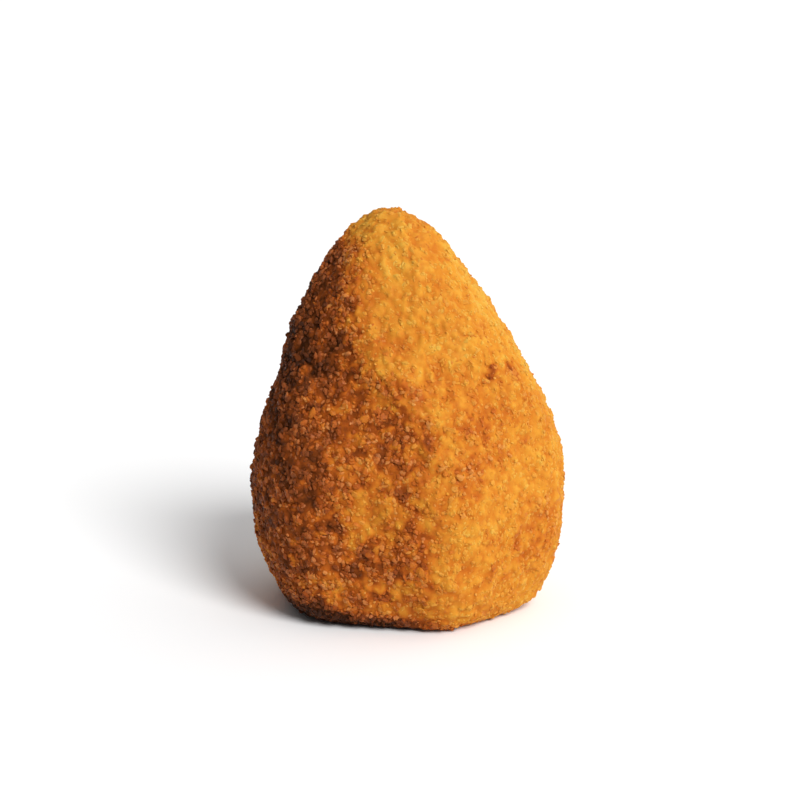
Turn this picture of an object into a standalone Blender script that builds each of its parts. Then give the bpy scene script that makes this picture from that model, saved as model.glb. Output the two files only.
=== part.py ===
# Cone-shaped arancino: one hand-moulded piece of rice in a browned breadcrumb crust.
# It stands on its flat underside. The front is -Y, up is +Z, and the origin is the middle of the underside.
# The body is a ball of even triangles wrapped onto a turned outline. The outline is then pressed into
# flats by the palms, leaned, swollen and dented in a few places, and roughened by the crust's relief.

import math

import bmesh
import bpy
from mathutils import Matrix, Vector, geometry, noise

MM = 0.001

# Driving sizes
HEIGHT = 94.0 * MM
BELLY_RADIUS = 37.0 * MM
BELLY_HEIGHT = 25.4 * MM
UNDERSIDE_RADIUS = 26.2 * MM
DEPTH_SHARE = 0.95  # front-to-back size over side-to-side size

# How strongly the outline's curves leave the belly, the tip and the underside
SHOULDER_PULL = 27.4 * MM
TIP_PULL = 12.8 * MM
HEEL_DROP = 21.4 * MM
HEEL_PULL = 4.0 * MM
OUTLINE_STEPS = 64  # points read from each curve

# The tip leans, from this height up
LEAN_FROM = 44.0 * MM
TIP_LEAN = Vector((-4.6 * MM, 1.5 * MM))

# Flats that the palms leave, as (degrees right of the front, distance from the middle over the radius)
FLATS = (
    (-15.0, 0.900),
    (44.0, 0.915),
    (116.0, 0.970),
    (172.0, 0.950),
    (-122.0, 0.960),
)
FLAT_EDGE = 0.06  # how round a flat's edges are, over the radius
TWIST = math.radians(-52.0)  # the flats turn this far on their way up
TWIST_FROM = 40.0 * MM
TWIST_TO = 88.0 * MM

# Swells and dents, as (degrees right of the front, height, radius, lift)
LUMPS = (
    (-88.0, 67.0 * MM, 7.0 * MM, 0.7 * MM),
    (-92.0, 57.0 * MM, 6.0 * MM, -0.9 * MM),
    (-90.0, 45.0 * MM, 9.0 * MM, 0.8 * MM),
    (84.0, 38.0 * MM, 9.0 * MM, 0.6 * MM),
    (90.0, 6.0 * MM, 9.0 * MM, -1.5 * MM),
    (-80.0, 4.0 * MM, 11.0 * MM, -1.8 * MM),
    (-6.0, 0.0, 13.0 * MM, -1.3 * MM),
    (42.0, 56.0 * MM, 4.5 * MM, -0.9 * MM),
    (8.0, 22.0 * MM, 4.5 * MM, -0.8 * MM),
    (-10.0, 67.0 * MM, 5.0 * MM, -0.6 * MM),
    (170.0, 48.0 * MM, 12.0 * MM, 1.1 * MM),
    (128.0, 30.0 * MM, 8.0 * MM, -0.9 * MM),
    (-135.0, 24.0 * MM, 10.0 * MM, 0.8 * MM),
    (70.0, 89.0 * MM, 6.0 * MM, 1.6 * MM),
    (-110.0, 89.0 * MM, 6.0 * MM, 0.7 * MM),
)
LUMPS_BEYOND = 6.0 * MM  # they fade out on the tip and the underside, within this radius

# Relief of the crust, as (width of one rise, half its height)
WAVES = (14.0 * MM, 0.40 * MM)
CRAGS = (4.6 * MM, 0.50 * MM)
CRAG_STEEPNESS = 3.0  # how narrow the cracks between crags are
GRAINS = (1.9 * MM, 0.50 * MM)
SMOOTH_UNDER = 3.0 * MM  # the relief fades out below this height, so the underside is flat

BALL_DIVISIONS = 23  # each side of the starting icosahedron is cut into this many, for 20 x 23 x 23 triangles

CRUST_COLOUR = (0.62, 0.235, 0.042, 1.0)
CRUST_ROUGHNESS = 0.72


def clear_scene():
    for item in list(bpy.data.objects):
        bpy.data.objects.remove(item)


def smooth_share(value, start, end):
    """0 up to start, 1 from end on, and an even S between them."""
    share = min(max((value - start) / (end - start), 0.0), 1.0)
    return share * share * (3.0 - 2.0 * share)


def outline():
    """Points (radius, height) of the turned outline, from the tip over the belly to the underside's middle."""
    tip = Vector((0.0, HEIGHT))
    belly = Vector((BELLY_RADIUS, BELLY_HEIGHT))
    foot = Vector((UNDERSIDE_RADIUS, 0.0))
    upper = geometry.interpolate_bezier(
        tip, tip + Vector((TIP_PULL, 0.0)), belly + Vector((0.0, SHOULDER_PULL)), belly, OUTLINE_STEPS
    )
    lower = geometry.interpolate_bezier(
        belly, belly - Vector((0.0, HEEL_DROP)), foot + Vector((HEEL_PULL, 0.0)), foot, OUTLINE_STEPS
    )
    return upper + lower[1:] + [Vector((0.0, 0.0))]


def along(points, share):
    """The point at this share of the outline's length, from 0 at its first point to 1 at its last."""
    lengths = [(b - a).length for a, b in zip(points, points[1:])]
    left = share * sum(lengths)
    for start, end, length in zip(points, points[1:], lengths):
        if left <= length:
            return start.lerp(end, left / length)
        left -= length
    return points[-1]


def pressed(radius, azimuth, height):
    """A point of the round section as (right, front), pushed in where the palms flatten it."""
    turn = TWIST * smooth_share(height, TWIST_FROM, TWIST_TO)
    point = radius * Vector((math.sin(azimuth), math.cos(azimuth)))
    for degrees, share in FLATS:
        facing = math.radians(degrees) + turn
        normal = Vector((math.sin(facing), math.cos(facing)))
        over = point.dot(normal) - share * radius
        point -= normal * (over + math.hypot(over, FLAT_EDGE * radius)) / 2
    return point


def lump_lift(radius, azimuth, height):
    """How far the swells and dents move the surface outwards here."""
    lift = 0.0
    for degrees, middle, size, rise in LUMPS:
        turn = math.remainder(azimuth - math.radians(degrees), math.tau)
        distance = math.hypot(turn * radius, height - middle)
        lift += rise * math.exp(-((distance / size) ** 2))
    return lift


def relief(place):
    """How far the crust's waves, crags and grains lift the surface at this place."""
    waves = WAVES[1] * noise.noise(place / WAVES[0])
    crags = CRAGS[1] * (1.0 - CRAG_STEEPNESS * abs(noise.noise(place / CRAGS[0])))
    grains = GRAINS[1] * noise.noise(place / GRAINS[0])
    return waves + crags + grains


def ball_of_triangles():
    """A unit ball: an icosahedron with its sides cut evenly."""
    ball = bmesh.new()
    bmesh.ops.create_icosphere(ball, subdivisions=1, radius=1.0)
    bmesh.ops.subdivide_edges(ball, edges=ball.edges, cuts=BALL_DIVISIONS - 1, use_grid_fill=True)
    bmesh.ops.triangulate(ball, faces=ball.faces)
    for vert in ball.verts:
        vert.co.normalize()
    return ball


def wrap(ball):
    """Moves the ball's points onto the pressed, swollen and leaning body."""
    points = outline()
    for vert in ball.verts:
        share = math.acos(min(max(vert.co.z, -1.0), 1.0)) / math.pi
        radius, height = along(points, share)
        azimuth = math.atan2(vert.co.x, -vert.co.y)
        right, front = pressed(radius, azimuth, height)
        outward = Vector((math.sin(azimuth), math.cos(azimuth)))
        lift = lump_lift(radius, azimuth, height) * smooth_share(radius, 0.0, LUMPS_BEYOND)
        lean = TIP_LEAN * smooth_share(height, LEAN_FROM, HEIGHT)
        x = right + outward.x * lift + lean.x
        y = -DEPTH_SHARE * (front + outward.y * lift) + lean.y
        vert.co = (x, y, height)


def roughen(body):
    """Lifts each point along its normal by the crust's relief, leaving the underside flat at height 0."""
    body.normal_update()
    moves = [
        vert.normal * relief(vert.co) * smooth_share(vert.co.z, 0.0, SMOOTH_UNDER) for vert in body.verts
    ]
    for vert, move in zip(body.verts, moves):
        vert.co += move
        vert.co.z = max(vert.co.z, 0.0)


def centre_over_origin(body):
    """Brings the middle of the body's box over the origin."""
    for axis in (0, 1):
        places = [vert.co[axis] for vert in body.verts]
        middle = (min(places) + max(places)) / 2
        shift = Vector((0.0, 0.0, 0.0))
        shift[axis] = -middle
        bmesh.ops.transform(body, matrix=Matrix.Translation(shift), verts=body.verts)


def crust_material():
    material = bpy.data.materials.new("crumb_crust")
    material.use_nodes = True
    shader = material.node_tree.nodes["Principled BSDF"]
    shader.inputs["Base Color"].default_value = CRUST_COLOUR
    shader.inputs["Roughness"].default_value = CRUST_ROUGHNESS
    shader.inputs["Metallic"].default_value = 0.0
    return material


def make_arancino():
    body = ball_of_triangles()
    wrap(body)
    roughen(body)
    centre_over_origin(body)
    mesh = bpy.data.meshes.new("arancino")
    body.to_mesh(mesh)
    body.free()
    mesh.shade_smooth()
    mesh.materials.append(crust_material())
    arancino = bpy.data.objects.new("arancino", mesh)
    bpy.context.scene.collection.objects.link(arancino)


clear_scene()
make_arancino()
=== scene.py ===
# Cone-shaped arancino, whole, standing on a pale studio floor.
# The imported solid gives the form. A crust follows it with finer crags, and breadcrumbs of five kinds
# are pressed into that crust. How browned each place is comes from listed patches, mottled by noise.
# Part of that browning is painted shade, on the left flank and shoulder and low down towards the floor.
import math

import bmesh
import bpy
import numpy as np
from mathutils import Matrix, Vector, noise
from mathutils.bvhtree import BVHTree


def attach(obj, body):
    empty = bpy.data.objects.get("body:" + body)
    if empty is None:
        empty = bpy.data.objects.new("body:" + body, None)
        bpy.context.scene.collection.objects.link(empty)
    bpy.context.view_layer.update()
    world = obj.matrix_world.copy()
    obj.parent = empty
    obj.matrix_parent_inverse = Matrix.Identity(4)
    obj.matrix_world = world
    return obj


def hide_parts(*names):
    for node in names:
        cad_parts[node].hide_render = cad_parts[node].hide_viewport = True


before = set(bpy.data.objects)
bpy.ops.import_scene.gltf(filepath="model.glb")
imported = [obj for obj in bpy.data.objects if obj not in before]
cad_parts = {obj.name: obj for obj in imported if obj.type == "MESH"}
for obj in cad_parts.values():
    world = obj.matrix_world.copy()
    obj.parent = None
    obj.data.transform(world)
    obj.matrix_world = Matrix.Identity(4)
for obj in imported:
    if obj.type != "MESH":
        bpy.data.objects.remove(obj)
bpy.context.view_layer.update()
mm = 0.001
print("loaded the packed arancino")


# Small helpers for node trees. Feeds give an input, by name or number, a value or another node's output.

def addNode(tree, kind, feeds=None, **settings):
    made = tree.nodes.new(kind)
    for name, value in settings.items():
        setattr(made, name, value)
    for name, value in (feeds or {}).items():
        if isinstance(value, bpy.types.NodeSocket):
            tree.links.new(value, made.inputs[name])
        else:
            made.inputs[name].default_value = value
    return made


def mathOf(tree, operation, *values):
    feeds = dict(enumerate(values))
    return addNode(tree, "ShaderNodeMath", feeds, operation=operation).outputs[0]


def vectorOf(tree, operation, *values):
    feeds = dict(enumerate(values))
    return addNode(tree, "ShaderNodeVectorMath", feeds, operation=operation).outputs[0]


def scaled(tree, vector, share):
    return addNode(tree, "ShaderNodeVectorMath", {0: vector, "Scale": share}, operation="SCALE").outputs[0]


def ranged(tree, value, low, high, toLow=0.0, toHigh=1.0, kind="LINEAR"):
    feeds = {0: value, 1: low, 2: high, 3: toLow, 4: toHigh}
    return addNode(tree, "ShaderNodeMapRange", feeds, interpolation_type=kind).outputs[0]


# Noise and tone run from 0 to 1, and this brings their middle to 0
def swingOf(tree, value):
    return mathOf(tree, "SUBTRACT", value, 0.5)


def geometryTree(name, sockets):
    tree = bpy.data.node_groups.new(name, "GeometryNodeTree")
    tree.interface.new_socket("Geometry", in_out="OUTPUT", socket_type="NodeSocketGeometry")
    tree.interface.new_socket("Geometry", in_out="INPUT", socket_type="NodeSocketGeometry")
    for label, kind, value in sockets:
        socket = tree.interface.new_socket(label, in_out="INPUT", socket_type="NodeSocket" + kind)
        if value is not None:
            socket.default_value = value
    inputs = tree.nodes.new("NodeGroupInput").outputs
    output = tree.nodes.new("NodeGroupOutput").inputs[0]
    return tree, inputs, output


# Runs a tree on an object once, and keeps the result as its plain mesh
def settle(thing, tree, values):
    modifier = thing.modifiers.new(tree.name, "NODES")
    modifier.node_group = tree
    for item in tree.interface.items_tree:
        if item.in_out == "INPUT" and item.name in values:
            modifier[item.identifier] = values[item.name]
    graph = bpy.context.evaluated_depsgraph_get()
    result = thing.evaluated_get(graph)
    mesh = bpy.data.meshes.new_from_object(result, preserve_all_data_layers=True, depsgraph=graph)
    thing.modifiers.clear()
    mesh.name = thing.name
    thing.data = mesh


def placesOf(mesh):
    places = np.zeros(len(mesh.vertices) * 3, np.float32)
    mesh.vertices.foreach_get("co", places)
    return places.reshape(-1, 3)


def addFloats(mesh, name, values):
    mesh.attributes.new(name, "FLOAT", "POINT").data.foreach_set("value", values.astype(np.float32))


def dropMaps(mesh):
    for layer in list(mesh.uv_layers):
        mesh.uv_layers.remove(layer)


def triangleCount(mesh):
    return len(mesh.loops) - 2 * len(mesh.polygons)


# Camera
camera = {
    "lens": 100.0,  # mm, as the sensor's width is
    "sensor": 36.0,
    "rise": 14.0,  # degrees above the horizon
    "distance": 0.5213,  # metres, as the aim is
    "aim": (-0.0019, 0.0, 0.0486),
}


def makeCamera():
    data = bpy.data.cameras.new("camera")
    data.lens = camera["lens"]
    data.sensor_width = camera["sensor"]
    rise = math.radians(camera["rise"])
    back = Vector((0.0, -math.cos(rise), math.sin(rise)))
    thing = bpy.data.objects.new("camera", data)
    thing.location = Vector(camera["aim"]) + back * camera["distance"]
    thing.rotation_euler = back.to_track_quat("Z", "Y").to_euler()
    bpy.context.scene.collection.objects.link(thing)
    bpy.context.scene.camera = thing


# Light: one soft key from the front right, in a white room that is brightest to the right and overhead
light = {
    "turn": 32.0,  # degrees right of the front
    "rise": 39.5,  # degrees above the horizon
    "energy": 3.12,
    "spread": 28.0,  # degrees across, which softens the shadow
    "roomRight": 0.97,
    "roomBehind": 0.25,
    "roomOverhead": 0.62,
    "overheadPower": 3.0,  # how closely the overhead light gathers at the top
    "background": 1.0,  # what the camera sees past the floor
}


def makeKey():
    turn, rise = math.radians(light["turn"]), math.radians(light["rise"])
    toward = Vector((math.sin(turn) * math.cos(rise), -math.cos(turn) * math.cos(rise), math.sin(rise)))
    data = bpy.data.lights.new("key", "SUN")
    data.energy = light["energy"]
    data.angle = math.radians(light["spread"])
    thing = bpy.data.objects.new("key", data)
    thing.rotation_euler = toward.to_track_quat("Z", "Y").to_euler()
    bpy.context.scene.collection.objects.link(thing)


def makeRoom():
    world = bpy.data.worlds.new("room")
    world.use_nodes = True
    tree = world.node_tree
    direction = addNode(tree, "ShaderNodeTexCoord").outputs["Generated"]
    ahead = vectorOf(tree, "MAXIMUM", direction, (0.0, 0.0, 0.0))
    towards = addNode(tree, "ShaderNodeSeparateXYZ", {0: ahead}).outputs
    strength = mathOf(tree, "MULTIPLY", towards["X"], light["roomRight"])
    strength = mathOf(tree, "MULTIPLY_ADD", towards["Y"], light["roomBehind"], strength)
    overhead = mathOf(tree, "POWER", towards["Z"], light["overheadPower"])
    strength = mathOf(tree, "MULTIPLY_ADD", overhead, light["roomOverhead"], strength)
    seen = addNode(tree, "ShaderNodeLightPath").outputs["Is Camera Ray"]
    feeds = {0: seen, 2: strength, 3: light["background"]}
    shown = addNode(tree, "ShaderNodeMix", feeds, data_type="FLOAT").outputs[0]
    background = tree.nodes["Background"]
    background.inputs["Color"].default_value = (1.0, 1.0, 1.0, 1.0)
    tree.links.new(shown, background.inputs["Strength"])
    bpy.context.scene.world = world
    bpy.context.scene.view_settings.view_transform = "Standard"


# Floor
floor = {"size": 6.0, "white": 0.94, "roughness": 0.9, "gloss": 0.0}


def makeFloor():
    bpy.ops.mesh.primitive_plane_add(size=floor["size"])
    thing = bpy.context.object
    thing.name = "floor"
    material = bpy.data.materials.new("paleFloor")
    material.use_nodes = True
    shader = material.node_tree.nodes["Principled BSDF"]
    shader.inputs["Base Color"].default_value = (floor["white"],) * 3 + (1.0,)
    shader.inputs["Roughness"].default_value = floor["roughness"]
    shader.inputs["Specular IOR Level"].default_value = floor["gloss"]
    thing.data.materials.append(material)


makeCamera()
makeKey()
makeRoom()
makeFloor()
print("camera, light and floor are set")


# Browning, with painted shade added in some places: 0 is pale gold, 1 is dark brown, and only the painted
# shade on the left shoulder and the rim get up to the darkest step.
# A patch is (degrees right of the front, height, radius, how much it darkens), with sizes in mm.
browningAndShade = {
    "everywhere": 0.20,
    "crowding": 0.60,  # from here on, further patches add less and less
    "most": 0.92,  # what the patches together come near to
    "darkBrown": 1.05,  # as far as the mottling goes
    "darkest": 1.30,
    "goldToBrown": (0.25, 0.60),  # gold up to the first of these, browned from the second on
    "patches": [
        # the browned left flank, darkened further as painted shade where it turns from the key, most of all
        # at its far edge
        (-62, 61, 10, 0.52), (-40, 60, 7, 0.27), (-37, 49, 12, 0.32), (-29, 56, 5, -0.10),
        (-62, 41, 12, 0.54), (-54, 28, 12, 0.44), (-36, 22, 9, 0.34), (-50, 12, 9, 0.36),
        (-84, 72, 12, 0.70), (-84, 50, 14, 0.86), (-84, 28, 14, 0.80), (-64, 10, 9, 0.28),
        (-34, 36, 7, 0.14), (-70, 80, 9, 0.34), (-58, 72, 8, 0.30), (-54, 18, 6, 0.26),
        (-66, 30, 8, 0.06), (-42, 7, 8, 0.20), (-68, 66, 8, 0.20), (-80, 64, 8, 0.16),
        (-74, 61, 5, 0.18), (-59, 46, 5, 0.12), (-88, 53, 6, 0.12), (-37, 31, 4, 0.08),
        # the front, with two specks
        (-14, 53, 7, 0.26), (-4, 47, 7, 0.26), (-16, 18, 8, 0.36), (0, 38, 6, 0.32),
        (1, 22, 7, 0.34), (7, 12, 6, 0.18), (2, 31, 5, 0.15), (-13, 40, 5, 0.16),
        (-16, 32, 6, 0.10), (-20, 68, 14, 0.08), (2, 57, 5, 0.22), (16, 57, 6, 0.08),
        (12, 50, 4, -0.08), (14, 40, 5, 0.05), (-13, 21, 5, 0.08), (-13, 10, 7, 0.27),
        (-2, 8, 6, 0.12), (8.4, 46, 1.8, 0.26), (7.5, 49, 1.4, 0.18),
        # the golden right side
        (30, 45, 9, 0.11), (82, 20, 10, 0.12), (24, 35, 7, 0.10), (54, 58, 3, 0.10),
        (60, 20, 7, 0.25), (58, 28, 6, 0.07), (46, 9, 6, 0.08), (30, 14, 8, 0.08),
        (50, 55, 6, 0.08), (44, 47, 6, 0.13), (29, 49, 6, 0.08), (26, 40, 6, 0.13),
        (67, 51, 6, 0.06), (88, 84, 8, -0.14), (84, 72, 9, -0.18), (86, 60, 10, -0.18),
        (92, 46, 10, -0.14),
        # a small dark arc high on the right
        (46.5, 58.2, 1.0, 0.26), (47.3, 59.3, 1.0, 0.28), (49.2, 60.3, 1.1, 0.28), (54.4, 59.3, 1.0, 0.32),
        (59.8, 60.0, 1.1, 0.32), (61.8, 58.9, 1.1, 0.34), (61.6, 57.4, 1.1, 0.32),
        # the tip
        (-35, 90, 6, -0.10), (-25, 83, 6, -0.06), (-75, 91, 5, -0.12), (0, 82, 6, -0.05),
        (8, 91, 6, 0.07), (45, 82, 6, 0.04),
        # the back and the far sides
        (104, 50, 12, 0.24), (128, 26, 10, 0.34), (165, 58, 11, 0.22), (178, 16, 12, 0.28),
        (150, 45, 34, 0.12), (-145, 50, 34, 0.14), (-165, 82, 14, 0.16), (-152, 40, 13, 0.36),
        (-118, 66, 8, 0.28), (-104, 22, 10, 0.30), (150, 80, 7, 0.14),
    ],
    "mottle": ((16.0, 0.10), (4.6, 0.25), (2.8, 0.30), (1.7, 0.26)),  # (width in mm, how much)
    "mottleOnGold": 0.46,  # the mottling is weaker where nothing has browned
    "shoulderShade": [
        # painted shade on the left shoulder and edge, where the form turns from the key: patches past what
        # the others reach
        (-77, 63, 7, 0.24), (-56, 64, 5, 0.18), (-94, 67, 9, 0.16), (-61, 56, 6, 0.12), (-80, 52, 7, 0.14),
        (-62, 45, 6, 0.17), (-92, 83, 5, 0.27), (-92, 76, 6, 0.30), (-110, 60, 9, 0.10), (-86, 32, 11, 0.07),
    ],
    # arcs round the underside, darker towards the floor: painted shade along the whole foot, and on the front
    # left a band that is partly browned underside and partly painted shade under the rounded base. (degrees
    # right of the front, degrees either way, height in mm, how much)
    "rim": [(0, 400, 1.3, 0.22), (-38, 52, 4.6, 0.98), (-52, 20, 7.0, 0.72)],
    "rimFalloff": 4,  # an arc keeps its strength almost up to its ends
}
farOut = 0.2  # metres from the middle, well outside the body


def patchPlaces(body, patches):
    tree = BVHTree.FromPolygons([v.co for v in body.vertices], [tuple(p.vertices) for p in body.polygons])
    places = []
    for degrees, height, radius, amount in patches:
        turn = math.radians(degrees)
        outward = Vector((math.sin(turn), -math.cos(turn), 0.0))
        hit = tree.ray_cast(outward * farOut + Vector((0.0, 0.0, height * mm)), -outward)[0]
        places.append((hit, radius * mm, amount))
    return places


def patchesAt(points, body, patches):
    toastAndShade = np.zeros(len(points))
    for place, radius, amount in patchPlaces(body, patches):
        away = np.linalg.norm(points - np.array(place), axis=1) / radius
        toastAndShade += amount * np.exp(-away ** 2)
    return toastAndShade


# darker towards the floor along the rim's arcs: partly browned underside, partly painted shade
def rimAt(points):
    toastAndShade = np.zeros(len(points))
    turns = np.degrees(np.arctan2(points[:, 0], -points[:, 1]))
    power = browningAndShade["rimFalloff"]
    for middle, reach, height, amount in browningAndShade["rim"]:
        away = (turns - middle + 180.0) % 360.0 - 180.0
        toastAndShade += amount * np.exp(-(away / reach) ** power - (points[:, 2] / (height * mm)) ** power)
    return toastAndShade


# How browned each point of the crust is, with the painted shade on the left flank, the left shoulder and low
# down added in. The body is the mesh that the patches are placed on.
def toastAndShadeAt(points, body):
    toastAndShade = browningAndShade["everywhere"] + patchesAt(points, body, browningAndShade["patches"])
    start = browningAndShade["crowding"]
    room = browningAndShade["most"] - start
    over = np.maximum(toastAndShade - start, 0.0)
    toastAndShade = np.where(toastAndShade > start, start + room * (1.0 - np.exp(-over / room)), toastAndShade)
    share = np.interp(toastAndShade, browningAndShade["goldToBrown"], (browningAndShade["mottleOnGold"], 1.0))
    for width, amount in browningAndShade["mottle"]:
        toastAndShade += share * amount * np.array([noise.noise(Vector(p) / (width * mm)) for p in points])
    toastAndShade = np.clip(toastAndShade, 0.0, browningAndShade["darkBrown"])
    # painted shade on the left shoulder and the rim's darkening towards the floor go past the dark brown
    # limit
    toastAndShade += patchesAt(points, body, browningAndShade["shoulderShade"]) + rimAt(points)
    return np.minimum(toastAndShade, browningAndShade["darkest"])


# A node value that is one number on gold places and another on browned ones
def byBrowning(tree, toastAndShade, onGold, onBrown):
    return ranged(tree, toastAndShade, *browningAndShade["goldToBrown"], onGold, onBrown)


# Finishes. Every crumb and the crust between them take their colour from the same steps, which go
# from the browning, with its painted shade, to the colour, in red, green and blue.
toastSteps = [
    (0.00, (0.625, 0.346, 0.049)),
    (0.25, (0.595, 0.248, 0.025)),
    (0.50, (0.505, 0.155, 0.014)),
    (0.70, (0.415, 0.100, 0.010)),
    (0.85, (0.27, 0.057, 0.006)),
    (1.00, (0.185, 0.041, 0.006)),
    (1.12, (0.140, 0.032, 0.005)),
    (1.30, (0.045, 0.011, 0.002)),
]

# What all the finishes share. A crumb's tone is its own number from 0, the lightest, to 1.
frying = {
    "toneOnGold": 0.45,  # crumbs differ this much less where nothing has browned
    "freckleTones": (0.84, 0.96),  # crumbs of these tones and over are freckles
    "freckleFade": (0.30, 0.70),  # freckles get weaker over this browning
    "freckleOnBrown": 0.2,
    "palest": (0.62, 0.36, 0.19, 1.0),  # the lightest crumbs come near to the colour of dry flour
    "paleTones": (0.45, 0.05),
    "paleOnGold": 0.12,
    "paleFade": (0.75, 1.20),  # paleness goes over this browning
    "oilPatches": (0.35, 0.65),  # noise levels from oiled to dry
    "speckRoughness": 0.6,
    "lightInside": 0.30,  # how much of the light goes through the crumbs
    "lightReach": 0.5,  # how deep, in mm, times the share of each colour
    "lightShares": (1.0, 0.80, 0.50),
}


def friedFinish(name, look):
    material = bpy.data.materials.new(name)
    material.use_nodes = True
    tree = material.node_tree
    shader = tree.nodes["Principled BSDF"]
    position = addNode(tree, "ShaderNodeTexCoord").outputs["Object"]

    def attribute(label):
        return addNode(tree, "ShaderNodeAttribute", attribute_name=label).outputs["Fac"]

    def specks(width, detail=2.0):
        feeds = {
            "Vector": position, "Scale": 1.0 / (width * mm), "Detail": detail,
            "Roughness": frying["speckRoughness"],
        }
        return addNode(tree, "ShaderNodeTexNoise", feeds).outputs["Fac"]

    # a crumb's own tone, freckles and specks shift how browned it looks, and painted shade darkens the pits
    # of the relief
    toastAndShade = mathOf(tree, "ADD", attribute("toastAndShade"), look["browner"])
    fullSpread = look["toneSpread"]
    spread = byBrowning(tree, attribute("toastAndShade"), frying["toneOnGold"] * fullSpread, fullSpread)
    toastAndShade = mathOf(tree, "MULTIPLY_ADD", swingOf(tree, attribute("tone")), spread, toastAndShade)
    freckle = ranged(tree, attribute("tone"), *frying["freckleTones"])
    fade = ranged(tree, attribute("toastAndShade"), *frying["freckleFade"], 1.0, frying["freckleOnBrown"])
    freckle = mathOf(tree, "MULTIPLY", freckle, fade)
    toastAndShade = mathOf(tree, "MULTIPLY_ADD", freckle, look["freckles"], toastAndShade)
    toastAndShade = mathOf(tree, "MULTIPLY_ADD", attribute("relief"), -look["pitShade"], toastAndShade)
    mottle = swingOf(tree, specks(look["mottleWidth"]))
    toastAndShade = mathOf(tree, "MULTIPLY_ADD", mottle, look["mottle"], toastAndShade)
    ramp = addNode(tree, "ShaderNodeValToRGB", {0: mathOf(tree, "DIVIDE", toastAndShade, browningAndShade["darkest"])})
    steps = ramp.color_ramp.elements  # a new ramp has two of them
    for index, (at, colour) in enumerate(toastSteps):
        place = at / browningAndShade["darkest"]
        step = steps[index] if index < 2 else steps.new(place)
        step.position = place
        step.color = (*colour, 1.0)

    # the lightest crumbs are also the palest
    pale = ranged(tree, attribute("tone"), *frying["paleTones"], 0.0, look["pale"])
    pale = mathOf(tree, "MULTIPLY", pale, byBrowning(tree, attribute("toastAndShade"), frying["paleOnGold"], 1.0))
    fade = ranged(tree, attribute("toastAndShade"), *frying["paleFade"], 1.0, 0.0)
    pale = mathOf(tree, "MULTIPLY", pale, fade)
    feeds = {0: pale, 6: ramp.outputs["Color"], 7: frying["palest"]}
    colour = addNode(tree, "ShaderNodeMix", feeds, data_type="RGBA").outputs[2]
    tree.links.new(colour, shader.inputs["Base Color"])

    dull = ranged(tree, specks(look["oilWidth"], 1.0), *frying["oilPatches"], look["oiled"], look["dry"])
    tree.links.new(dull, shader.inputs["Roughness"])
    grain = specks(look["grainWidth"], 3.0)
    feeds = {"Strength": 1.0, "Distance": look["grainDepth"] * mm, "Height": grain}
    tree.links.new(addNode(tree, "ShaderNodeBump", feeds).outputs[0], shader.inputs["Normal"])
    shader.inputs["Specular IOR Level"].default_value = look["gloss"]
    shader.inputs["Subsurface Weight"].default_value = frying["lightInside"]
    shader.inputs["Subsurface Radius"].default_value = frying["lightShares"]
    shader.inputs["Subsurface Scale"].default_value = frying["lightReach"] * mm
    return material


# Crust: the browned layer between and under the crumbs. Widths and depths in a look are in mm.
crust = {
    "weld": 0.01 * mm,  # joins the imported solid's loose triangles
    "cuts": 3,  # each side of a packed triangle gets this many cuts
    "rounding": 4,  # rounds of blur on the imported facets
    "facingBlur": 24,  # rounds of blur on which way a face looks, so that the map's sides have even edges
    "inset": 0.20 * mm,  # the crumbs bring the outline back out
    "cragWidth": 4.2 * mm, "cragHeight": 0.18 * mm,
    "crackWidth": 0.16,  # how far the noise swings from the bottom of a crack to the top of a crag
    "crackDepth": -1.0, "cragTop": 0.6,  # shares of the crag height
    "crumbWidth": 1.7 * mm, "crumbHeight": 0.22 * mm,
    "crumbBend": 0.9,  # how far a crumb's outline wanders, in crumb widths
    "crumbSlope": (0.15, 0.75),  # from the flat top of a crumb to the gap beside it, in crumb widths
    "grainWidth": 0.9 * mm, "grainHeight": 0.09 * mm,
    "grainGain": 3.0,  # brings the grain's noise to about 1 either way
    "flatBelow": 1.6 * mm,  # the relief fades out towards the flat underside
    "mapCells": (3, 2),  # the six sides lie in this many columns and rows of the map
    "mapMargin": 0.01,  # round each side, over its cell
    "look": {
        "browner": 0.08, "toneSpread": 0.0, "freckles": 0.0, "pale": 0.0, "pitShade": 0.12,
        "mottleWidth": 1.1, "mottle": 0.30, "oilWidth": 5.0, "oiled": 0.50, "dry": 0.78,
        "grainWidth": 0.35, "grainDepth": 0.07, "gloss": 0.05,
    },
}


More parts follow.
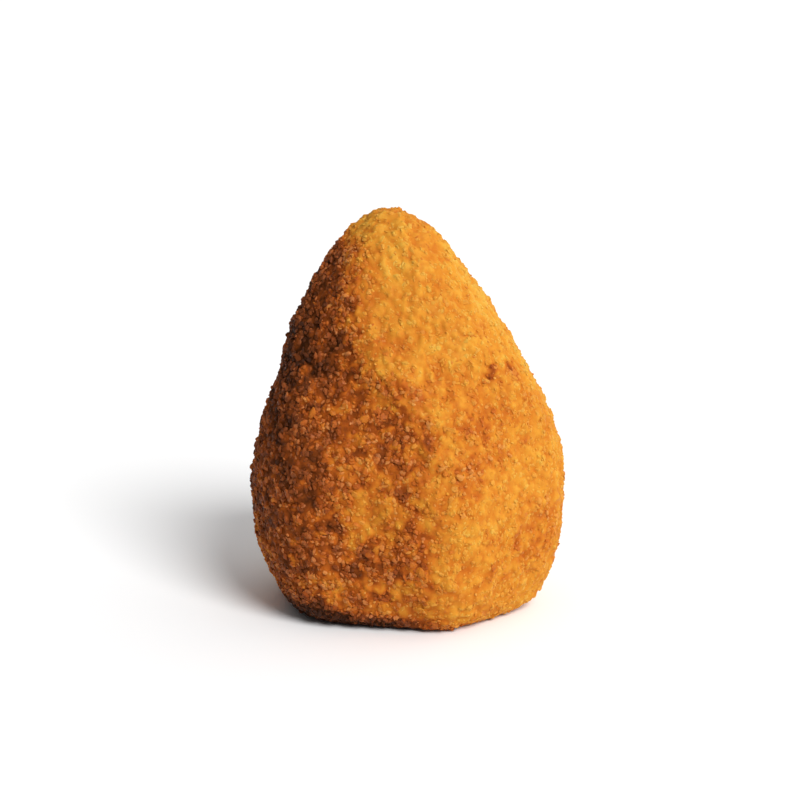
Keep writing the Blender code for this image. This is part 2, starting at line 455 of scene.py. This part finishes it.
def crustTree():
    tree, given, output = geometryTree("cragsAndPits", [
        ("Rounding", "Int", 4), ("Inset", "Float", 0.0),
        ("Crag Width", "Float", 0.004), ("Crag Height", "Float", 0.0005),
        ("Crumb Width", "Float", 0.0013), ("Crumb Height", "Float", 0.0003),
        ("Grain Width", "Float", 0.0009), ("Grain Height", "Float", 0.0001),
        ("Flat Below", "Float", 0.0016), ("Material", "Material", None),
    ])
    place = addNode(tree, "GeometryNodeInputPosition").outputs[0]
    normal = addNode(tree, "GeometryNodeInputNormal").outputs[0]

    def blurred(vector, times):
        feeds = {0: vector, 1: times}
        return addNode(tree, "GeometryNodeBlurAttribute", feeds, data_type="FLOAT_VECTOR").outputs[0]

    def noiseOf(width, detail):
        feeds = {"Vector": place, "Scale": mathOf(tree, "DIVIDE", 1.0, width), "Detail": detail}
        return addNode(tree, "ShaderNodeTexNoise", feeds).outputs

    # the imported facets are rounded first, and each face remembers which way it looks
    feeds = {0: given["Geometry"], "Position": blurred(place, given["Rounding"])}
    rounded = addNode(tree, "GeometryNodeSetPosition", feeds).outputs[0]
    feeds = {0: rounded, "Name": "facing", "Value": blurred(normal, crust["facingBlur"])}
    settings = {"data_type": "FLOAT_VECTOR", "domain": "FACE"}
    marked = addNode(tree, "GeometryNodeStoreNamedAttribute", feeds, **settings).outputs[0]

    # crags are rounded rises with narrow cracks between them
    swing = mathOf(tree, "ABSOLUTE", swingOf(tree, noiseOf(given["Crag Width"], 1.0)[0]))
    crags = ranged(tree, swing, 0.0, crust["crackWidth"], crust["crackDepth"], crust["cragTop"], "SMOOTHSTEP")
    # crumbs are cells of uneven outline
    bend = vectorOf(tree, "SUBTRACT", noiseOf(given["Crumb Width"], 1.0)[1], (0.5, 0.5, 0.5))
    reach = mathOf(tree, "MULTIPLY", given["Crumb Width"], crust["crumbBend"])
    bent = vectorOf(tree, "ADD", place, scaled(tree, bend, reach))
    feeds = {"Vector": bent, "Scale": mathOf(tree, "DIVIDE", 1.0, given["Crumb Width"]), "Randomness": 1.0}
    cells = addNode(tree, "ShaderNodeTexVoronoi", feeds).outputs["Distance"]
    crumbs = ranged(tree, cells, *crust["crumbSlope"], 1.0, -1.0, "SMOOTHSTEP")
    # grain roughens both
    grain = swingOf(tree, noiseOf(given["Grain Width"], 2.0)[0])
    grain = mathOf(tree, "MULTIPLY", grain, crust["grainGain"])

    lift = mathOf(tree, "MULTIPLY", crags, given["Crag Height"])
    lift = mathOf(tree, "MULTIPLY_ADD", crumbs, given["Crumb Height"], lift)
    lift = mathOf(tree, "MULTIPLY_ADD", grain, given["Grain Height"], lift)
    whole = mathOf(tree, "ADD", given["Crag Height"], given["Crumb Height"])
    feeds = {0: marked, "Name": "relief", "Value": mathOf(tree, "DIVIDE", lift, whole)}
    settings = {"data_type": "FLOAT", "domain": "POINT"}
    withRelief = addNode(tree, "GeometryNodeStoreNamedAttribute", feeds, **settings).outputs[0]

    # the relief lifts the surface, less and less towards the underside, and nothing goes below the floor
    height = addNode(tree, "ShaderNodeSeparateXYZ", {0: place}).outputs["Z"]
    up = ranged(tree, height, 0.0, given["Flat Below"], kind="SMOOTHSTEP")
    move = mathOf(tree, "MULTIPLY", mathOf(tree, "SUBTRACT", lift, given["Inset"]), up)
    feeds = {0: withRelief, "Offset": scaled(tree, normal, move)}
    moved = addNode(tree, "GeometryNodeSetPosition", feeds).outputs[0]
    feeds = {0: moved, "Position": vectorOf(tree, "MAXIMUM", place, (-1.0, -1.0, 0.0))}
    resting = addNode(tree, "GeometryNodeSetPosition", feeds).outputs[0]
    smooth = addNode(tree, "GeometryNodeSetShadeSmooth", {0: resting}).outputs[0]
    real = addNode(tree, "GeometryNodeRealizeInstances", {0: smooth}).outputs[0]
    feeds = {0: real, "Material": given["Material"]}
    finished = addNode(tree, "GeometryNodeSetMaterial", feeds).outputs[0]
    tree.links.new(finished, output)
    return tree


# Lays each side of the crust flat in its own cell of the map
def mapBySides(mesh):
    facing = np.zeros(len(mesh.polygons) * 3, np.float32)
    mesh.attributes["facing"].data.foreach_get("vector", facing)
    facing = facing.reshape(-1, 3)
    axis = np.abs(facing).argmax(axis=1)
    side = axis * 2 + (facing[np.arange(len(facing)), axis] > 0)
    corners = np.zeros(len(mesh.loops), np.int32)
    mesh.loops.foreach_get("vertex_index", corners)
    sides = np.repeat(side, len(mesh.loops) // len(mesh.polygons))
    places = placesOf(mesh)[corners]
    across = np.array([1, 0, 0])[sides // 2]  # a side that looks along X lies flat by Y and Z, and so on
    along = np.array([2, 2, 1])[sides // 2]
    flat = np.empty((len(corners), 2))
    for number in range(6):
        mine = sides == number
        for column, which in enumerate((across, along)):
            values = places[mine, which[mine]]
            flat[mine, column] = (values - values.min()) / max(np.ptp(values), 1e-9)
    margin = crust["mapMargin"]
    columns, rows = crust["mapCells"]
    cell = np.stack((sides % columns, sides // columns), axis=1)
    flat = (flat * (1.0 - 2.0 * margin) + margin + cell) / (columns, rows)
    layer = mesh.uv_layers.new(name="OFBake")
    layer.data.foreach_set("uv", flat.astype(np.float32).ravel())
    mesh.attributes.remove(mesh.attributes["facing"])


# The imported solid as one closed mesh
def weldedBody(thing):
    weld = thing.modifiers.new("weld", "WELD")
    weld.merge_threshold = crust["weld"]
    graph = bpy.context.evaluated_depsgraph_get()
    welded = bpy.data.meshes.new_from_object(thing.evaluated_get(graph), depsgraph=graph)
    thing.modifiers.clear()
    welded.materials.clear()
    dropMaps(welded)
    return welded


# The same mesh with each triangle cut finely
def cutFinely(welded):
    fine = bmesh.new()
    fine.from_mesh(welded)
    bmesh.ops.subdivide_edges(fine, edges=fine.edges, cuts=crust["cuts"], use_grid_fill=True)
    bmesh.ops.triangulate(fine, faces=fine.faces)
    mesh = bpy.data.meshes.new("crust")
    fine.to_mesh(mesh)
    fine.free()
    return mesh


def makeCrust():
    thing = bpy.data.objects.new("crust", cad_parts["arancino"].data.copy())
    bpy.context.scene.collection.objects.link(thing)
    welded = weldedBody(thing)
    thing.data = cutFinely(welded)
    settle(thing, crustTree(), {
        "Rounding": crust["rounding"], "Inset": crust["inset"],
        "Crag Width": crust["cragWidth"], "Crag Height": crust["cragHeight"],
        "Crumb Width": crust["crumbWidth"], "Crumb Height": crust["crumbHeight"],
        "Grain Width": crust["grainWidth"], "Grain Height": crust["grainHeight"],
        "Flat Below": crust["flatBelow"], "Material": friedFinish("brownedCrust", crust["look"]),
    })
    mesh = thing.data
    addFloats(mesh, "toastAndShade", toastAndShadeAt(placesOf(mesh), welded))
    addFloats(mesh, "tone", np.full(len(mesh.vertices), 0.5))
    mapBySides(mesh)
    print("crust:", triangleCount(mesh), "triangles")
    return thing


# Crumbs: five kinds, pressed into the crust. Widths are in mm, "many" is how many on a square cm,
# and "power" makes small ones more frequent. "thick", "rise" and "uneven" are shares of a crumb's width,
# "tilt" is in degrees, and "toasts" says from how browned to how browned a kind grows to its full number.
crumbKinds = {
    "packedCrumbs": {
        "many": 54, "width": (0.80, 1.60), "power": 1.3, "thick": 0.54, "rise": 0.02, "tilt": 20.0,
        "uneven": 0.34, "divisions": 1, "toasts": (-1.0, -0.9), "seed": 11,
        "look": {
            "browner": -0.03, "toneSpread": 0.24, "freckles": 0.20, "pale": 0.17, "pitShade": 0.07,
            "mottleWidth": 0.6, "mottle": 0.16, "oilWidth": 4.0, "oiled": 0.48, "dry": 0.76,
            "grainWidth": 0.22, "grainDepth": 0.05, "gloss": 0.14,
        },
    },
    "fineCrumbs": {
        "many": 42, "width": (0.50, 1.00), "power": 1.3, "thick": 0.62, "rise": 0.05, "tilt": 50.0,
        "uneven": 0.34, "divisions": 1, "toasts": (-1.0, -0.9), "seed": 12,
        "look": {
            "browner": -0.06, "toneSpread": 0.30, "freckles": 0.24, "pale": 0.20, "pitShade": 0.05,
            "mottleWidth": 0.5, "mottle": 0.12, "oilWidth": 4.0, "oiled": 0.50, "dry": 0.80,
            "grainWidth": 0.18, "grainDepth": 0.04, "gloss": 0.14,
        },
    },
    "toastedCrumbs": {
        "many": 40, "width": (0.75, 1.50), "power": 1.2, "thick": 0.50, "rise": 0.02, "tilt": 20.0,
        "uneven": 0.34, "divisions": 1, "toasts": (0.25, 0.70), "seed": 13,
        "look": {
            "browner": 0.04, "toneSpread": 0.24, "freckles": 0.10, "pale": 0.16, "pitShade": 0.06,
            "mottleWidth": 0.6, "mottle": 0.18, "oilWidth": 3.0, "oiled": 0.42, "dry": 0.72,
            "grainWidth": 0.20, "grainDepth": 0.05, "gloss": 0.14,
        },
    },
    "coarseCrumbs": {
        "many": 5, "width": (1.60, 2.60), "power": 2.0, "thick": 0.36, "rise": -0.08, "tilt": 12.0,
        "uneven": 0.22, "divisions": 2, "toasts": (-1.0, -0.9), "seed": 14,
        "look": {
            "browner": -0.04, "toneSpread": 0.22, "freckles": 0.14, "pale": 0.12, "pitShade": 0.06,
            "mottleWidth": 0.7, "mottle": 0.22, "oilWidth": 4.0, "oiled": 0.46, "dry": 0.74,
            "grainWidth": 0.25, "grainDepth": 0.07, "gloss": 0.14,
        },
    },
    "crumbFlakes": {
        "many": 10, "width": (0.8, 1.5), "power": 1.4, "thick": 0.26, "rise": 0.02, "tilt": 18.0,
        "uneven": 0.32, "divisions": 1, "toasts": (-1.0, -0.9), "seed": 15,
        "look": {
            "browner": 0.01, "toneSpread": 0.34, "freckles": 0.26, "pale": 0.20, "pitShade": 0.05,
            "mottleWidth": 0.5, "mottle": 0.14, "oilWidth": 4.0, "oiled": 0.44, "dry": 0.72,
            "grainWidth": 0.20, "grainDepth": 0.04, "gloss": 0.14,
        },
    },
}

# What all kinds of crumbs share. Two numbers are the least and the most of a random draw or of a noise.
crumbShape = {
    "length": (0.90, 1.45),  # in crumb widths
    "breadth": (0.60, 1.00),  # in crumb widths
    "thicker": (0.75, 1.25),  # times the kind's own thickness
    "bumps": 1.3,  # on the width of the largest crumb
    "push": 2.5,  # times the kind's unevenness, how far the bumps move a point
    "bareToCovered": (0.35, 0.60),  # noise levels
    "aboveFloor": 0.02 * mm,
    "mapMargin": 0.03,  # round each crumb, over its square of the map
}


def crumbTree():
    tree, given, output = geometryTree("pressedCrumbs", [
        ("Per Square Metre", "Float", 500000.0), ("Smallest", "Float", 0.0006), ("Largest", "Float", 0.0014),
        ("Small Ones", "Float", 1.4), ("Thickness", "Float", 0.6), ("Rise", "Float", 0.05),
        ("Tilt", "Float", 0.4), ("Unevenness", "Float", 0.3), ("Divisions", "Int", 1),
        ("Toast From", "Float", -1.0), ("Toast To", "Float", -0.9), ("Above", "Float", 0.0006),
        ("Patchiness", "Float", 0.5), ("Patch Width", "Float", 0.005),
        ("Gold Width", "Float", 0.86), ("Gold Thickness", "Float", 0.9), ("Gold Sinking", "Float", 0.12),
        ("Seed", "Int", 1), ("Material", "Material", None),
    ])
    place = addNode(tree, "GeometryNodeInputPosition").outputs[0]

    def stored(label):
        return addNode(tree, "GeometryNodeInputNamedAttribute", {"Name": label}, data_type="FLOAT").outputs[0]

    # each draw shifts the seed by a number of its own, so that no two go together
    def randomOf(low, high, shift):
        seed = mathOf(tree, "ADD", given["Seed"], float(shift))
        feeds = {2: low, 3: high, "Seed": seed}
        return addNode(tree, "FunctionNodeRandomValue", feeds, data_type="FLOAT").outputs[1]

    def noiseOf(scale, detail):
        feeds = {"Vector": place, "Scale": scale, "Detail": detail}
        return addNode(tree, "ShaderNodeTexNoise", feeds).outputs

    def keep(geometry, label, value, kind="FLOAT", domain="POINT"):
        feeds = {0: geometry, "Name": label, "Value": value}
        node = addNode(tree, "GeometryNodeStoreNamedAttribute", feeds, data_type=kind, domain=domain)
        return node.outputs[0]

    # where crumbs lie: above the flat underside, in uneven cover, and the toasted kind only on browned places
    height = addNode(tree, "ShaderNodeSeparateXYZ", {0: place}).outputs["Z"]
    cover = ranged(tree, height, given["Above"], mathOf(tree, "MULTIPLY", given["Above"], 2.0))
    browned = ranged(tree, stored("toastAndShade"), given["Toast From"], given["Toast To"])
    cover = mathOf(tree, "MULTIPLY", cover, browned)
    patches = noiseOf(mathOf(tree, "DIVIDE", 1.0, given["Patch Width"]), 1.0)[0]
    fewest = mathOf(tree, "SUBTRACT", 1.0, given["Patchiness"])
    cover = mathOf(tree, "MULTIPLY", cover, ranged(tree, patches, *crumbShape["bareToCovered"], fewest, 1.0))
    density = mathOf(tree, "MULTIPLY", given["Per Square Metre"], cover)
    feeds = {0: given["Geometry"], "Density": density, "Seed": given["Seed"]}
    spots = addNode(tree, "GeometryNodeDistributePointsOnFaces", feeds, distribute_method="RANDOM").outputs

    # small ones are more frequent, and where nothing has browned the crumbs are smaller and sit deeper
    share = mathOf(tree, "POWER", randomOf(0.0, 1.0, 100), given["Small Ones"])
    width = ranged(tree, share, 0.0, 1.0, given["Smallest"], given["Largest"])
    width = mathOf(tree, "MULTIPLY", width, byBrowning(tree, stored("toastAndShade"), given["Gold Width"], 1.0))
    points = keep(spots["Points"], "width", width)
    points = keep(points, "tone", randomOf(0.0, 1.0, 200))
    sunk = byBrowning(tree, stored("toastAndShade"), given["Gold Sinking"], 0.0)
    rise = mathOf(tree, "MULTIPLY", stored("width"), mathOf(tree, "SUBTRACT", given["Rise"], sunk))
    feeds = {0: points, "Offset": scaled(tree, spots["Normal"], rise)}
    lifted = addNode(tree, "GeometryNodeSetPosition", feeds).outputs[0]

    # one crumb is a small ball one width across, with a map of its own
    feeds = {"Radius": 0.5, "Subdivisions": given["Divisions"]}
    ball = addNode(tree, "GeometryNodeMeshIcoSphere", feeds).outputs
    mapped = keep(ball[0], "OFBake", ball["UV Map"], "FLOAT2", "CORNER")

    # it is turned, drawn out and flattened
    lean = mathOf(tree, "MULTIPLY", given["Tilt"], -1.0)
    turn = addNode(tree, "ShaderNodeCombineXYZ", {
        0: randomOf(lean, given["Tilt"], 300),
        1: randomOf(lean, given["Tilt"], 400),
        2: randomOf(0.0, math.tau, 500),
    }).outputs[0]
    feeds = {0: spots["Rotation"], 1: addNode(tree, "FunctionNodeEulerToRotation", {0: turn}).outputs[0]}
    turned = addNode(tree, "FunctionNodeRotateRotation", feeds, rotation_space="LOCAL").outputs[0]
    proud = byBrowning(tree, stored("toastAndShade"), given["Gold Thickness"], 1.0)
    thickness = mathOf(tree, "MULTIPLY", given["Thickness"], proud)
    thickness = mathOf(tree, "MULTIPLY", thickness, randomOf(*crumbShape["thicker"], 800))
    size = addNode(tree, "ShaderNodeCombineXYZ", {
        0: mathOf(tree, "MULTIPLY", stored("width"), randomOf(*crumbShape["length"], 600)),
        1: mathOf(tree, "MULTIPLY", stored("width"), randomOf(*crumbShape["breadth"], 700)),
        2: mathOf(tree, "MULTIPLY", stored("width"), thickness),
    }).outputs[0]
    feeds = {0: lifted, "Instance": mapped, "Rotation": turned, "Scale": size}
    placed = addNode(tree, "GeometryNodeInstanceOnPoints", feeds).outputs[0]
    real = addNode(tree, "GeometryNodeRealizeInstances", {0: placed}).outputs[0]

    # it is made uneven where it lies, and stays above the floor
    bumps = noiseOf(mathOf(tree, "DIVIDE", crumbShape["bumps"], given["Largest"]), 2.0)[1]
    push = vectorOf(tree, "SUBTRACT", bumps, (0.5, 0.5, 0.5))
    reach = mathOf(tree, "MULTIPLY", given["Unevenness"], crumbShape["push"])
    reach = mathOf(tree, "MULTIPLY", stored("width"), reach)
    feeds = {0: real, "Offset": scaled(tree, push, reach)}
    uneven = addNode(tree, "GeometryNodeSetPosition", feeds).outputs[0]
    lowest = (-1.0, -1.0, crumbShape["aboveFloor"])
    feeds = {0: uneven, "Position": vectorOf(tree, "MAXIMUM", place, lowest)}
    resting = addNode(tree, "GeometryNodeSetPosition", feeds).outputs[0]
    faceted = addNode(tree, "GeometryNodeSetShadeSmooth", {0: resting, "Shade Smooth": False}).outputs[0]
    feeds = {0: faceted, "Material": given["Material"]}
    finished = addNode(tree, "GeometryNodeSetMaterial", feeds).outputs[0]
    tree.links.new(finished, output)
    return tree


# Gives each crumb its own square of the map
def mapByCrumb(mesh, divisions):
    trianglesEach = 20 * 4 ** (divisions - 1)  # an icosahedron's 20, cut in four by each further division
    corners = trianglesEach * 3
    crumbs = len(mesh.loops) // corners
    across = math.ceil(math.sqrt(crumbs))
    layer = mesh.uv_layers["OFBake"]
    flat = np.zeros(len(mesh.loops) * 2, np.float32)
    layer.data.foreach_get("uv", flat)
    flat = flat.reshape(-1, 2)
    low, high = flat.min(axis=0), flat.max(axis=0)
    margin = crumbShape["mapMargin"]
    flat = (flat - low) / (high - low) * (1.0 - 2.0 * margin) + margin
    number = np.arange(len(flat)) // corners
    cell = np.stack((number % across, number // across), axis=1)
    layer.data.foreach_set("uv", ((flat + cell) / across).astype(np.float32).ravel())


def makeCrumbs(name, kind, tree, crustThing):
    thing = bpy.data.objects.new(name, crustThing.data.copy())
    bpy.context.scene.collection.objects.link(thing)
    dropMaps(thing.data)
    perSquareMetre = kind["many"] * 1e4  # from a square cm
    smallest, largest = kind["width"]
    toastFrom, toastTo = kind["toasts"]
    settle(thing, tree, {
        "Per Square Metre": perSquareMetre, "Smallest": smallest * mm, "Largest": largest * mm,
        "Small Ones": kind["power"], "Thickness": kind["thick"], "Rise": kind["rise"],
        "Tilt": math.radians(kind["tilt"]), "Unevenness": kind["uneven"], "Divisions": kind["divisions"],
        "Toast From": toastFrom, "Toast To": toastTo, "Seed": kind["seed"],
        "Material": friedFinish(name, kind["look"]),
    })
    mapByCrumb(thing.data, kind["divisions"])
    print(name + ":", triangleCount(thing.data), "triangles")
    return thing


crustThing = makeCrust()
pieces = [crustThing]
sharedTree = crumbTree()
for name, kind in crumbKinds.items():
    pieces.append(makeCrumbs(name, kind, sharedTree, crustThing))

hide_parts("arancino")
for piece in pieces:
    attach(piece, "root")
print("all", len(pieces), "pieces ride on the root")
